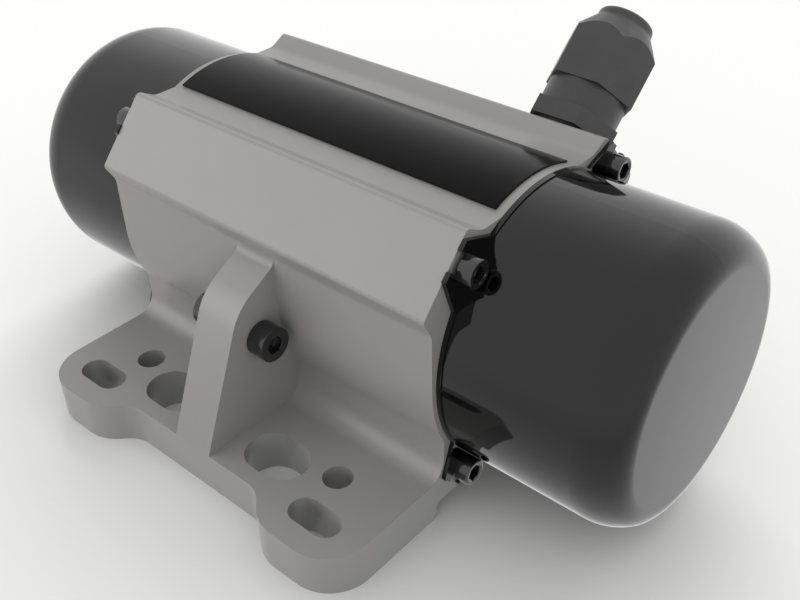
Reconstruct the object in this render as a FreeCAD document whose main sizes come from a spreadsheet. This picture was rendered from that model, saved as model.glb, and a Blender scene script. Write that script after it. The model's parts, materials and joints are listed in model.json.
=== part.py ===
import FreeCAD, Part
import Sketcher
import math
import os

# Small foot-mounted vibration motor, in millimetres.
# X runs along the shaft, Z is up, and the origin is under the middle of the feet.

doc = FreeCAD.newDocument("vibration_motor")
sheet = doc.addObject("Spreadsheet::Sheet", "Dims")


class Size:
    """A size from the sheet, or a sum or product of sizes, with its value and its expression."""

    def __init__(self, value, text):
        self.value = float(value)
        self.text = text

    def __add__(self, other):
        other = size(other)
        return Size(self.value + other.value, f"({self.text} + {other.text})")

    def __sub__(self, other):
        other = size(other)
        return Size(self.value - other.value, f"({self.text} - {other.text})")

    def __mul__(self, other):
        other = size(other)
        return Size(self.value * other.value, f"({self.text} * {other.text})")

    def __truediv__(self, other):
        other = size(other)
        return Size(self.value / other.value, f"({self.text} / {other.text})")

    def __neg__(self):
        return Size(-self.value, f"(-1 * {self.text})")

    __radd__ = __add__
    __rmul__ = __mul__


def root(value):
    """The square root of a size."""
    return Size(math.sqrt(value.value), f"sqrt({value.text})")


def slope(rise, run):
    """The angle of a slope, in degrees."""
    return Size(math.degrees(math.atan2(rise.value, run.value)), f"atan({rise.text} / {run.text})")


def diagonal(along, across, *rest):
    """A corner given along and across the diagonal between sideways and up."""
    scale = 1 / math.sqrt(2)
    return ((along + across) * scale, (along - across) * scale, *rest)


def size(value):
    """Plain numbers become sizes, and sizes stay as they are."""
    if isinstance(value, Size):
        return value
    return Size(value, f"({float(value):.9g})")


DIMS = {
    # housing section, seen along the shaft: walls round the bore, lobes on the diagonals
    "housing_length": 92.6,
    "bore_radius": 27.5,
    "crown_wall": 3.8,
    "side_wall": 4.8,
    "valley_wall": 5.59,
    "valley_spread": 7.5,
    "valley_round": 4.0,
    "tip_wall": 10.38,
    "tip_spread": 6.06,
    "tip_round": 1.3,
    "shoulder_wall": 9.39,
    "shoulder_spread": 12.18,
    "shoulder_round": 1.2,
    "waist_rise": 13.3,
    "waist_round": 3.0,
    "skirt_drop": 14.4,
    "skirt_round": 4.8,
    # feet with their ears and holes
    "foot_thickness": 9.7,
    "foot_overhang": 29.1,
    "ear_width": 20.2,
    "ear_flat": 0.6,
    "recess_depth": 6.15,
    "recess_round": 7.0,
    "belly_gap": 1.4,
    "channel_half": 31.3,
    "channel_depth": 4.0,
    "channel_round": 1.5,
    "channel_lip": 0.8,
    "ear_slot_end_land": 6.05,
    "ear_slot_side_land": 5.15,
    "ear_slot_straight": 3.0,
    "ear_slot_radius": 3.25,
    "round_hole_end_inset": 16.3,
    "round_hole_side_inset": 18.9,
    "round_hole_radius": 3.2,
    "wide_slot_shift": 0.275,
    "wide_slot_land": 3.65,
    "wide_slot_straight": 2.0,
    "wide_slot_radius": 5.6,
    # stiffening ribs on the feet, and the earth screws
    "rib_thickness": 10.6,
    "rib_root_rise": 11.6,
    "rib_root_round": 2.0,
    "rib_knee_overhang": 10.6,
    "rib_knee_rise": 5.75,
    "rib_knee_round": 12.0,
    "earth_overhang": 5.6,
    "earth_drop": 3.2,
    "earth_bolt_radius": 2.0,
    "earth_bolt_gap": 0.5,
    "earth_head_radius": 3.8,
    "earth_head_height": 4.4,
    "earth_socket": 3.6,
    "earth_washer_radius": 4.4,
    "earth_washer_thickness": 0.9,
    "spring_washer_radius": 3.5,
    "spring_washer_thickness": 0.9,
    "spring_split_half": 0.3,
    "washer_slack": 0.15,
    # seats in the housing's ends
    "shield_seat_step": 0.5,
    "shield_thickness": 6.0,
    "seal_seat_gap": 0.9,
    "seal_width": 1.6,
    "seal_depth": 1.2,
    "seal_squeeze": 0.1,
    "fit_gap": 0.04,
    # nameplate
    "plate_inset": 1.9,
    "plate_angle": 43.4,
    "plate_thickness": 0.5,
    # end caps and their screws
    "cap_step": 0.4,
    "cap_length": 38.0,
    "cap_wall": 1.8,
    "cap_bevel_length": 5.27,
    "cap_bevel_depth": 3.72,
    "cap_outer_round": 11.6,
    "cap_edge_round": 5.0,
    "cap_lip_overlap": 1.4,
    "cap_lip_depth": 2.0,
    "flange_thickness": 1.0,
    "flange_step": 0.1,
    "lobe_margin": 3.86,
    "lobe_tip_half": 4.2,
    "lobe_root_half": 9.2,
    "notch_half": 2.1,
    "notch_round": 2.0,
    "screw_wall": 6.44,
    "screw_radius": 1.5,
    "screw_head_radius": 2.85,
    "screw_head_height": 3.1,
    "screw_length": 7.0,
    "screw_hole_spare": 0.8,
    "screw_socket": 3.2,
    "socket_depth": 1.8,
    # stator
    "core_length": 36.0,
    "core_bore_share": 6 / 11,
    "core_back": 4.3,
    "slot_count": 18,
    "slot_mouth_half": 0.9,
    "slot_mouth_height": 1.2,
    "slot_root_half": 1.7,
    "slot_root_height": 1.4,
    "slot_top_half": 2.7,
    "winding_gap": 0.1,
    "winding_turn_length": 8.5,
    "winding_bore_gap": 2.9,
    "winding_rotor_gap": 2.4,
    "winding_turn_bevel": 1.8,
    # rotor
    "air_gap": 0.4,
    "rotor_bar_count": 14,
    "rotor_bar_half": 0.9,
    "rotor_bar_cover": 1.0,
    "rotor_bar_height": 2.4,
    "rotor_ring_length": 5.0,
    "rotor_ring_shaft_gap": 2.0,
    "rotor_ring_bevel": 0.8,
    # shaft
    "shaft_end_radius": 6.0,
    "shaft_shoulder": 1.5,
    "shaft_stub": 3.9,
    "shaft_chamfer": 0.8,
    # bearings and shields
    "bearing_recess": 11.8,
    "bearing_width": 10.0,
    "bearing_outer_radius": 16.0,
    "race_land": 2.0,
    "ball_radius": 2.95,
    "ball_count": 7,
    "race_gap": 0.08,
    "cage_half_thickness": 0.9,
    "cage_half_width": 3.7,
    "hub_wall": 3.0,
    "hub_lip": 1.5,
    "ring_step": 0.4,
    "clip_thickness": 1.2,
    "clip_groove_depth": 0.9,
    "clip_band": 2.0,
    "clip_eye_half": 2.3,
    "clip_mouth_half": 0.6,
    # eccentric weights
    "weight_standoff": 5.7,
    "spacer_wall": 2.5,
    "weight_radius": 24.0,
    "weight_rise": 3.0,
    "weight_hub_wall": 3.6,
    "fixed_weight_thickness": 10.0,
    "free_weight_thickness": 8.0,
    "weight_gap": 0.05,
    "key_half_width": 2.0,
    "key_depth": 2.5,
    "key_height": 1.6,
    "clamp_half_width": 5.6,
    "clamp_cover": 3.8,
    "clamp_slit_half": 0.6,
    "clamp_screw_radius": 1.5,
    "clamp_head_radius": 2.75,
    "clamp_head_height": 3.0,
    "clamp_head_gap": 0.3,
    "shaft_clip_thickness": 1.0,
    "shaft_clip_depth": 0.5,
    "shaft_clip_band": 1.8,
    # cable gland, with heights counted from the lobe's sloping face
    "gland_inset": 13.3,
    "gland_hex": 18.2,
    "gland_gasket": 0.6,
    "gland_gasket_inset": 0.4,
    "gland_hex_height": 4.0,
    "gland_thread_radius": 6.0,
    "gland_thread_length": 8.5,
    "gland_barrel_step": 0.3,
    "gland_neck_height": 5.8,
    "gland_upper_thread_radius": 7.5,
    "gland_upper_thread_height": 5.6,
    "gland_claw_height": 5.0,
    "gland_claw_radius": 7.0,
    "gland_claw_taper": 0.5,
    "gland_claw_count": 8,
    "gland_claw_slot_half": 0.5,
    "gland_seat_radius": 5.5,
    "gland_seat_drop": 2.4,
    "gland_cable_radius": 3.6,
    "gland_nut_hex_height": 12.9,
    "gland_nut_bevel": 3.3,
    "gland_nut_cone_radius": 7.0,
    "gland_nut_cone_lift": 1.5,
    "gland_nut_neck_step": 2.8,
    "gland_nut_neck_height": 3.8,
    "gland_nut_collar_height": 1.9,
    "gland_nut_round": 1.0,
    "gland_nut_mouth": 4.6,
    "gland_nut_lip": 0.4,
}

for row, (alias, value) in enumerate(DIMS.items(), start=1):
    sheet.set(f"A{row}", alias)
    sheet.set(f"B{row}", f"{value}")
    sheet.setAlias(f"B{row}", alias)
doc.recompute()


def dim(alias):
    """The size that the sheet holds under this alias."""
    return Size(sheet.get(alias), f"Dims.{alias}")


XY = "XY_Plane"
XZ = "XZ_Plane"
YZ = "YZ_Plane"
ALONG_Z = FreeCAD.Vector(0, 0, 1)
ALONG_X = FreeCAD.Vector(1, 0, 0)
ENDS = {"right": 0.0, "left": 180.0}
QUARTERS = 4
HEX_SIDES = 6
NUT_TURN = 3.0
nodes = []


def bind(item, prop, value):
    """Ties one property of an object to an expression of the sheet's sizes."""
    item.setExpression(prop, size(value).text)


def origin_part(body, role):
    for feature in body.Origin.OriginFeatures:
        if feature.Role == role:
            return feature
    raise ValueError(role)


def new_body(label, height=None, turn=0.0):
    """A body for one piece, lifted to the shaft's height and turned to its end of the motor."""
    body = doc.addObject("PartDesign::Body", label)
    body.Label = label
    body.Placement = FreeCAD.Placement(FreeCAD.Vector(0, 0, 0), FreeCAD.Rotation(ALONG_Z, turn))
    if height is not None:
        bind(body, "Placement.Base.z", height)
    nodes.append(body)
    return body


def new_sketch(body, name, role, lift=None):
    sketch = body.newObject("Sketcher::SketchObject", f"{body.Name}_{name}")
    sketch.AttachmentSupport = [(origin_part(body, role), "")]
    sketch.MapMode = "FlatFace"
    if lift is not None:
        bind(sketch, "AttachmentOffset.Base.z", lift)
    return sketch


def pin(sketch, kind, where, value):
    """Adds one driving dimension to a sketch and ties it to the sheet."""
    value = size(value)
    index = sketch.addConstraint(Sketcher.Constraint(kind, *where, value.value))
    sketch.renameConstraint(index, f"size{index}")
    bind(sketch, f"Constraints.size{index}", value)


def place_point(sketch, geometry, position, across, up):
    pin(sketch, "DistanceX", (-1, 1, geometry, position), across)
    pin(sketch, "DistanceY", (-1, 1, geometry, position), up)


def unit(vector):
    length = math.hypot(*vector)
    return (vector[0] / length, vector[1] / length)


def add_outline(sketch, corners):
    """A closed outline through corners (across, up) or (across, up, rounding radius)."""
    count = len(corners)
    points = [(size(c[0]).value, size(c[1]).value) for c in corners]
    entry = list(points)
    leave = list(points)
    arcs = {}
    for i, corner in enumerate(corners):
        if len(corner) < 3:
            continue
        radius = size(corner[2]).value
        here = points[i]
        back = unit((points[i - 1][0] - here[0], points[i - 1][1] - here[1]))
        ahead = points[(i + 1) % count]
        ahead = unit((ahead[0] - here[0], ahead[1] - here[1]))
        half = math.acos(max(-1.0, min(1.0, back[0] * ahead[0] + back[1] * ahead[1]))) / 2
        run = radius / math.tan(half)
        entry[i] = (here[0] + back[0] * run, here[1] + back[1] * run)
        leave[i] = (here[0] + ahead[0] * run, here[1] + ahead[1] * run)
        middle = unit((back[0] + ahead[0], back[1] + ahead[1]))
        reach = radius / math.sin(half)
        centre = (here[0] + middle[0] * reach, here[1] + middle[1] * reach)
        arcs[i] = (centre, radius)
    lines = []
    for i in range(count):
        start = FreeCAD.Vector(*leave[i], 0)
        stop = FreeCAD.Vector(*entry[(i + 1) % count], 0)
        lines.append(sketch.addGeometry(Part.LineSegment(start, stop), False))
    for i, corner in enumerate(corners):
        before = lines[i - 1]
        after = lines[i]
        if i not in arcs:
            sketch.addConstraint(Sketcher.Constraint("Coincident", before, 2, after, 1))
            place_point(sketch, after, 1, corner[0], corner[1])
            continue
        centre, radius = arcs[i]
        start = math.atan2(entry[i][1] - centre[1], entry[i][0] - centre[0])
        stop = math.atan2(leave[i][1] - centre[1], leave[i][0] - centre[0])
        sweep = (stop - start) % (2 * math.pi)
        forward = sweep < math.pi
        if not forward:
            start, stop = stop, start
        circle = Part.Circle(FreeCAD.Vector(*centre, 0), ALONG_Z, radius)
        arc = sketch.addGeometry(Part.ArcOfCircle(circle, start, stop), False)
        mark = sketch.addGeometry(Part.Point(FreeCAD.Vector(*points[i], 0)), True)
        place_point(sketch, mark, 1, corner[0], corner[1])
        sketch.addConstraint(Sketcher.Constraint("PointOnObject", mark, 1, before))
        sketch.addConstraint(Sketcher.Constraint("PointOnObject", mark, 1, after))
        first, last = (1, 2) if forward else (2, 1)
        sketch.addConstraint(Sketcher.Constraint("Tangent", before, 2, arc, first))
        sketch.addConstraint(Sketcher.Constraint("Tangent", arc, last, after, 1))
        pin(sketch, "Radius", (arc,), corner[2])


def add_circle(sketch, across, up, radius):
    centre = FreeCAD.Vector(size(across).value, size(up).value, 0)
    circle = sketch.addGeometry(Part.Circle(centre, ALONG_Z, size(radius).value), False)
    place_point(sketch, circle, 3, across, up)
    pin(sketch, "Radius", (circle,), radius)


def add_slot(sketch, across, up, straight, radius):
    """A slot along the first axis: two half circles joined by two straight sides."""
    mid = size(up).value
    r = size(radius).value
    ends = []
    for side in (1, -1):
        centre = FreeCAD.Vector((size(across) + straight * side).value, mid, 0)
        start = -math.pi / 2 * side
        arc = Part.ArcOfCircle(Part.Circle(centre, ALONG_Z, r), start, start + math.pi)
        ends.append(sketch.addGeometry(arc, False))
    right, left = ends
    x_right = (size(across) + straight).value
    x_left = (size(across) - straight).value
    top = sketch.addGeometry(Part.LineSegment(FreeCAD.Vector(x_right, mid + r, 0),
                                              FreeCAD.Vector(x_left, mid + r, 0)), False)
    low = sketch.addGeometry(Part.LineSegment(FreeCAD.Vector(x_left, mid - r, 0),
                                              FreeCAD.Vector(x_right, mid - r, 0)), False)
    joins = ((right, 2, top, 1), (top, 2, left, 1), (left, 2, low, 1), (low, 2, right, 1))
    for one, one_end, two, two_end in joins:
        sketch.addConstraint(Sketcher.Constraint("Tangent", one, one_end, two, two_end))
    place_point(sketch, right, 3, size(across) + straight, up)
    pin(sketch, "DistanceX", (-1, 1, left, 3), size(across) - straight)
    pin(sketch, "Radius", (right,), radius)


def outline(body, name, role, corners, lift=None):
    sketch = new_sketch(body, name, role, lift)
    add_outline(sketch, corners)
    return sketch


def circles(body, name, role, rows, lift=None):
    sketch = new_sketch(body, name, role, lift)
    for across, up, radius in rows:
        add_circle(sketch, across, up, radius)
    return sketch


def pad(body, sketch, length, both=False, back=False):
    feature = body.newObject("PartDesign::Pad", f"{sketch.Name}_pad")
    feature.Profile = sketch
    bind(feature, "Length", length)
    feature.Midplane = both
    feature.Reversed = back
    body.Tip = feature
    return feature


def pocket(body, sketch, length, both=False, back=False):
    feature = body.newObject("PartDesign::Pocket", f"{sketch.Name}_pocket")
    feature.Profile = sketch
    bind(feature, "Length", length)
    feature.Midplane = both
    feature.Reversed = back
    body.Tip = feature
    return feature


def turned(body, sketch, axis="H_Axis", angle=360, both=False, cut=False):
    kind = "PartDesign::Groove" if cut else "PartDesign::Revolution"
    feature = body.newObject(kind, f"{sketch.Name}_turned")
    feature.Profile = sketch
    feature.ReferenceAxis = (sketch, [axis])
    bind(feature, "Angle", angle)
    feature.Midplane = both
    body.Tip = feature
    return feature


def ring_pattern(body, features, count, role="X_Axis"):
    feature = body.newObject("PartDesign::PolarPattern", f"{features[0].Name}_ring")
    feature.Originals = features
    feature.Axis = (origin_part(body, role), [""])
    feature.Angle = 360
    bind(feature, "Occurrences", count)
    body.Tip = feature
    return feature


def mirror(body, features, role):
    feature = body.newObject("PartDesign::Mirrored", f"{features[0].Name}_mirror")
    feature.Originals = features
    feature.MirrorPlane = (origin_part(body, role), [""])
    body.Tip = feature
    return feature


def hexagon(across, up, flats, turn=0.0):
    """Corners of a hexagon, from its width across flats."""
    reach = size(flats) / math.sqrt(3)
    corners = []
    for k in range(HEX_SIDES):
        angle = math.radians(360 * k / HEX_SIDES + turn)
        corners.append((size(across) + reach * math.cos(angle), size(up) + reach * math.sin(angle)))
    return corners


def both_sides(half):
    """Doubles the corners of one side of an outline to the other side."""
    return half + [(-c[0], *c[1:]) for c in reversed(half)]


# Sizes that follow from the sheet and that several features share
fit = dim("fit_gap")
half_turn = Size(180, "180 deg")
half_length = dim("housing_length") / 2
bore_radius = dim("bore_radius")
crown_radius = bore_radius + dim("crown_wall")
side_radius = bore_radius + dim("side_wall")
axis_height = side_radius + dim("belly_gap")
tip_side, tip_rise = diagonal(bore_radius + dim("tip_wall"), -dim("tip_spread"))
shoulder_side, shoulder_rise = diagonal(bore_radius + dim("shoulder_wall"), dim("shoulder_spread"))
skirt_side = root(side_radius * side_radius - dim("skirt_drop") * dim("skirt_drop"))
foot_reach = side_radius + dim("foot_overhang")
ear_inner = half_length - dim("ear_width")
ear_round = (dim("ear_width") - dim("ear_flat")) / 2
recess_half = ear_inner - dim("recess_depth")
recess_reach = foot_reach - dim("recess_depth")
screw_circle = bore_radius + dim("screw_wall")
screw_offset = screw_circle / math.sqrt(2)
shield_face = half_length - dim("shield_thickness")
shield_seat_radius = bore_radius + dim("shield_seat_step")
seal_inner_radius = shield_seat_radius + dim("seal_seat_gap")
flange_face = half_length + dim("flange_thickness")
cap_end = half_length + dim("cap_length")
core_bore_radius = bore_radius * dim("core_bore_share")
rotor_radius = core_bore_radius - dim("air_gap")
shaft_end_radius = dim("shaft_end_radius")
shaft_core_radius = shaft_end_radius + dim("shaft_shoulder")
bearing_inner_face = half_length - dim("bearing_recess")
bearing_outer_face = bearing_inner_face + dim("bearing_width")
bearing_middle = bearing_inner_face + dim("bearing_width") / 2
ball_pitch_radius = (shaft_end_radius + dim("bearing_outer_radius")) / 2
bearing_inner_land = ball_pitch_radius - dim("race_land")
bearing_outer_land = ball_pitch_radius + dim("race_land")
hub_radius = dim("bearing_outer_radius") + dim("hub_wall")
fixed_weight_face = half_length + dim("weight_standoff")
fixed_weight_end = fixed_weight_face + dim("fixed_weight_thickness")
free_weight_face = fixed_weight_end + dim("weight_gap")
free_weight_end = free_weight_face + dim("free_weight_thickness")
weight_hub_radius = shaft_end_radius + dim("weight_hub_wall")
clamp_screw_height = weight_hub_radius + dim("clamp_head_gap") + dim("clamp_head_radius")
shaft_clip_face = free_weight_end + dim("weight_gap")
shaft_clip_end = shaft_clip_face + dim("shaft_clip_thickness")
gland_place = half_length - dim("gland_inset")
gland_side = (tip_side + shoulder_side) / 2
gland_height = axis_height + (tip_rise + shoulder_rise) / 2
gland_tilt = slope(tip_rise - shoulder_rise, shoulder_side - tip_side)
gland_barrel_radius = dim("gland_hex") / 2 - dim("gland_barrel_step")
gland_hex_top = dim("gland_gasket") + dim("gland_hex_height")
gland_nut_foot = gland_hex_top + dim("gland_neck_height")
gland_claw_root = gland_nut_foot + dim("gland_upper_thread_height")
gland_claw_top = gland_claw_root + dim("gland_claw_height")


def make_housing():
    """Cast body: lobed barrel, feet with ears, ribs, bore, seats and every hole."""
    body = new_body("housing", 0)
    length = dim("housing_length")
    valley_side, valley_rise = diagonal(bore_radius + dim("valley_wall"), -dim("valley_spread"))
    section = [
        (valley_side, axis_height + valley_rise, dim("valley_round")),
        (tip_side, axis_height + tip_rise, dim("tip_round")),
        (shoulder_side, axis_height + shoulder_rise, dim("shoulder_round")),
        (side_radius, axis_height + dim("waist_rise"), dim("waist_round")),
        (side_radius, axis_height),
        (skirt_side, axis_height - dim("skirt_drop")),
        (skirt_side, dim("foot_thickness"), dim("skirt_round")),
        (skirt_side + dim("skirt_round") * 2, dim("foot_thickness")),
        (skirt_side + dim("skirt_round") * 2, dim("foot_thickness") / 2),
    ]
    pad(body, outline(body, "section", YZ, both_sides(section)), length, both=True)
    pad(body, circles(body, "crown", YZ, [(0, axis_height, crown_radius)]), length, both=True)
    foot = [
        (half_length, foot_reach, ear_round),
        (ear_inner, foot_reach, ear_round),
        (recess_half, recess_reach, dim("recess_round")),
    ]
    near_edge = both_sides(foot)
    far_edge = [(c[0], -c[1], *c[2:]) for c in reversed(near_edge)]
    pad(body, outline(body, "feet", XY, near_edge + far_edge), dim("foot_thickness"))
    rib = [
        (bore_radius, axis_height + dim("waist_rise")),
        (side_radius, axis_height + dim("waist_rise")),
        (side_radius, axis_height + dim("rib_root_rise"), dim("rib_root_round")),
        (side_radius + dim("rib_knee_overhang"), axis_height + dim("rib_knee_rise"), dim("rib_knee_round")),
        (recess_reach, dim("foot_thickness")),
        (recess_reach, dim("foot_thickness") / 2),
    ]
    pad(body, outline(body, "ribs", YZ, both_sides(rib)), dim("rib_thickness"), both=True)
    through = length + dim("foot_thickness")
    channel_mouth = dim("channel_half") + dim("channel_lip")
    channel = [
        (dim("channel_half"), dim("channel_depth"), dim("channel_round")),
        (dim("channel_half"), dim("channel_lip")),
        (channel_mouth, 0),
        (channel_mouth, -dim("channel_depth")),
    ]
    pocket(body, outline(body, "channel", YZ, both_sides(channel)), through, both=True)
    make_lower_barrel(body, length)
    pocket(body, circles(body, "bore", YZ, [(0, axis_height, bore_radius)]), through, both=True)
    make_housing_ends(body)
    make_foot_holes(body)
    make_side_holes(body)


def make_lower_barrel(body, length):
    """Half round under the shaft's height, between the waist and the feet."""
    sketch = new_sketch(body, "lower_barrel", YZ)
    height = axis_height.value
    radius = side_radius.value
    circle = Part.Circle(FreeCAD.Vector(0, height, 0), ALONG_Z, radius)
    arc = sketch.addGeometry(Part.ArcOfCircle(circle, math.pi, 2 * math.pi), False)
    line = sketch.addGeometry(Part.LineSegment(FreeCAD.Vector(radius, height, 0),
                                               FreeCAD.Vector(-radius, height, 0)), False)
    sketch.addConstraint(Sketcher.Constraint("Coincident", arc, 2, line, 1))
    sketch.addConstraint(Sketcher.Constraint("Coincident", line, 2, arc, 1))
    sketch.addConstraint(Sketcher.Constraint("PointOnObject", arc, 3, line))
    sketch.addConstraint(Sketcher.Constraint("Horizontal", line))
    place_point(sketch, arc, 3, 0, axis_height)
    pin(sketch, "Radius", (arc,), side_radius)
    pad(body, sketch, length, both=True)


def make_housing_ends(body):
    """At each end: the shield's seat, the seal's groove and four tapped holes."""
    seat = circles(body, "seat", YZ, [(0, axis_height, shield_seat_radius)], half_length)
    seat_cut = pocket(body, seat, dim("shield_thickness"))
    groove = circles(body, "groove", YZ, [
        (0, axis_height, seal_inner_radius),
        (0, axis_height, seal_inner_radius + dim("seal_width")),
    ], half_length)
    groove_cut = pocket(body, groove, dim("seal_depth"))
    offset = screw_offset
    holes = []
    for side in (1, -1):
        for rise in (1, -1):
            holes.append((offset * side, axis_height + offset * rise, dim("screw_radius")))
    depth = dim("screw_length") - dim("flange_thickness") + dim("screw_hole_spare")
    hole_cut = pocket(body, circles(body, "cap_holes", YZ, holes, half_length), depth)
    mirror(body, [seat_cut, groove_cut, hole_cut], YZ)


def make_foot_holes(body):
    """In each quarter of the feet: an ear slot, a round hole and a wide slot."""
    small = dim("ear_slot_radius")
    small_side = half_length - dim("ear_slot_end_land") - small - dim("ear_slot_straight")
    small_reach = foot_reach - dim("ear_slot_side_land") - small
    round_side = half_length - dim("round_hole_end_inset")
    round_reach = foot_reach - dim("round_hole_side_inset")
    wide = dim("wide_slot_radius")
    small_inner_end = small_side - dim("ear_slot_straight") - small
    wide_side = (dim("rib_thickness") / 2 + small_inner_end) / 2 - dim("wide_slot_shift")
    wide_reach = recess_reach - dim("wide_slot_land") - wide
    sketch = new_sketch(body, "foot_holes", XY)
    for side in (1, -1):
        for reach in (1, -1):
            add_slot(sketch, small_side * side, small_reach * reach, dim("ear_slot_straight"), small)
            add_circle(sketch, round_side * side, round_reach * reach, dim("round_hole_radius"))
            add_slot(sketch, wide_side * side, wide_reach * reach, dim("wide_slot_straight"), wide)
    pocket(body, sketch, dim("foot_thickness") * 2, both=True)


def make_side_holes(body):
    """The earth screws' hole through the near rib, and the gland's hole in the far lobe."""
    side = -(side_radius + dim("earth_overhang"))
    up = axis_height - dim("earth_drop")
    earth = circles(body, "earth_hole", YZ, [(side, up, dim("earth_bolt_radius"))])
    pocket(body, earth, dim("rib_thickness") * 2, both=True)
    hole = body.newObject("PartDesign::SubtractiveCylinder", "housing_gland_hole")
    bind(hole, "Radius", dim("gland_thread_radius"))
    bind(hole, "Height", bore_radius)
    hole.AttachmentSupport = [(origin_part(body, XY), "")]
    hole.MapMode = "FlatFace"
    hole.AttachmentOffset = FreeCAD.Placement(FreeCAD.Vector(0, 0, 0), FreeCAD.Rotation(ALONG_X, -1))
    bind(hole, "AttachmentOffset.Base.x", gland_place)
    bind(hole, "AttachmentOffset.Base.y", gland_side)
    bind(hole, "AttachmentOffset.Base.z", gland_height)
    bind(hole, "AttachmentOffset.Rotation.Angle", half_turn - gland_tilt)
    body.Tip = hole


def make_nameplate():
    """Thin bare plate bent round the crown."""
    body = new_body("nameplate", axis_height)
    half = half_length - dim("plate_inset")
    low = crown_radius
    high = low + dim("plate_thickness")
    sketch = outline(body, "section", XZ, [(half, low), (half, high), (-half, high), (-half, low)])
    turned(body, sketch, angle=dim("plate_angle"), both=True)


def make_stator():
    """Laminated core with its slots, and one winding that fills them and turns at both ends."""
    core = new_body("stator_core", axis_height)
    pad(core, circles(core, "ring", YZ, [
        (0, 0, bore_radius - fit),
        (0, 0, core_bore_radius),
    ]), dim("core_length"), both=True)
    cut = pocket(core, outline(core, "slot", YZ, slot_corners()), dim("core_length") * 2, both=True)
    ring_pattern(core, [cut], dim("slot_count"))

    coil = new_body("stator_winding", axis_height)
    gap = dim("winding_gap")
    start = dim("core_length") / 2 + gap
    inner = rotor_radius + dim("winding_rotor_gap")
    outer = bore_radius - dim("winding_bore_gap")
    stop = start + dim("winding_turn_length")
    bevel = dim("winding_turn_bevel")
    turns = new_sketch(coil, "turns", XZ)
    for side in (1, -1):
        add_outline(turns, [
            (start * side, inner),
            ((stop - bevel) * side, inner),
            (stop * side, inner + bevel),
            (stop * side, outer - bevel),
            ((stop - bevel) * side, outer),
            (start * side, outer),
        ])
    turned(coil, turns)
    low = core_bore_radius + dim("slot_mouth_height") + dim("slot_root_height") + gap
    high = bore_radius - dim("core_back") - gap
    low_half = dim("slot_root_half") - gap
    high_half = dim("slot_top_half") - gap
    bar_shape = [(low_half, low), (high_half, high), (-high_half, high), (-low_half, low)]
    bar = pad(coil, outline(coil, "bar", YZ, bar_shape), (start + gap) * 2, both=True)
    ring_pattern(coil, [bar], dim("slot_count"))


def slot_corners():
    """One stator slot, from its mouth in the bore to its wide top."""
    mouth = core_bore_radius + dim("slot_mouth_height")
    return both_sides([
        (dim("slot_mouth_half"), rotor_radius),
        (dim("slot_mouth_half"), mouth),
        (dim("slot_root_half"), mouth + dim("slot_root_height")),
        (dim("slot_top_half"), bore_radius - dim("core_back")),
    ])


def make_rotor():
    """Laminated rotor core and the cast cage with its bars and end rings."""
    core = new_body("rotor_core", axis_height)
    pad(core, circles(core, "ring", YZ, [
        (0, 0, rotor_radius),
        (0, 0, shaft_core_radius + fit),
    ]), dim("core_length"), both=True)
    cut = pocket(core, outline(core, "slot", YZ, rotor_bar(size(0))), dim("core_length") * 2, both=True)
    ring_pattern(core, [cut], dim("rotor_bar_count"))

    cage = new_body("rotor_cage", axis_height)
    start = dim("core_length") / 2
    stop = start + dim("rotor_ring_length")
    inner = shaft_core_radius + dim("rotor_ring_shaft_gap")
    outer = rotor_radius - dim("air_gap")
    end_rings = new_sketch(cage, "end_rings", XZ)
    for side in (1, -1):
        add_outline(end_rings, [
            (start * side, inner),
            (stop * side, inner),
            (stop * side, outer - dim("rotor_ring_bevel")),
            ((stop - dim("rotor_ring_bevel")) * side, outer),
            (start * side, outer),
        ])
    turned(cage, end_rings)
    bar = pad(cage, outline(cage, "bar", YZ, rotor_bar(fit)), dim("core_length") + fit, both=True)
    ring_pattern(cage, [bar], dim("rotor_bar_count"))


def rotor_bar(gap):
    """One bar of the rotor's cage, or with no gap the slot that it fills."""
    half = dim("rotor_bar_half") - gap
    high = rotor_radius - dim("rotor_bar_cover")
    low = high - dim("rotor_bar_height") + gap
    return [(half, low), (half, high - gap), (-half, high - gap), (-half, low)]


def make_shaft():
    """Stepped shaft with key seats and clip grooves at both ends."""
    body = new_body("shaft", axis_height)
    end = shaft_clip_end + dim("shaft_stub")
    core = shaft_core_radius
    thin = shaft_end_radius
    groove = thin - dim("shaft_clip_depth")
    half = [
        (bearing_inner_face, core),
        (bearing_inner_face, thin),
        (shaft_clip_face, thin),
        (shaft_clip_face, groove),
        (shaft_clip_end, groove),
        (shaft_clip_end, thin),
        (end - dim("shaft_chamfer"), thin),
        (end, thin - dim("shaft_chamfer")),
        (end, size(0)),
    ]
    turned(body, outline(body, "profile", XZ, both_sides(half)))
    start = fixed_weight_face
    stop = fixed_weight_end
    width = dim("key_half_width")
    seat = outline(body, "key_seat", XY, [(start, width), (stop, width), (stop, -width), (start, -width)],
                   thin - dim("key_depth"))
    cut = pocket(body, seat, dim("key_depth") * 2, back=True)
    mirror(body, [cut], YZ)


def make_end(end, turn):
    """Every piece of one end of the motor: shield, bearing, weights, cap, seal and screws."""
    make_shield(end, turn)
    make_bearing(end, turn)
    make_weights(end, turn)
    make_cap(end, turn)


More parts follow.
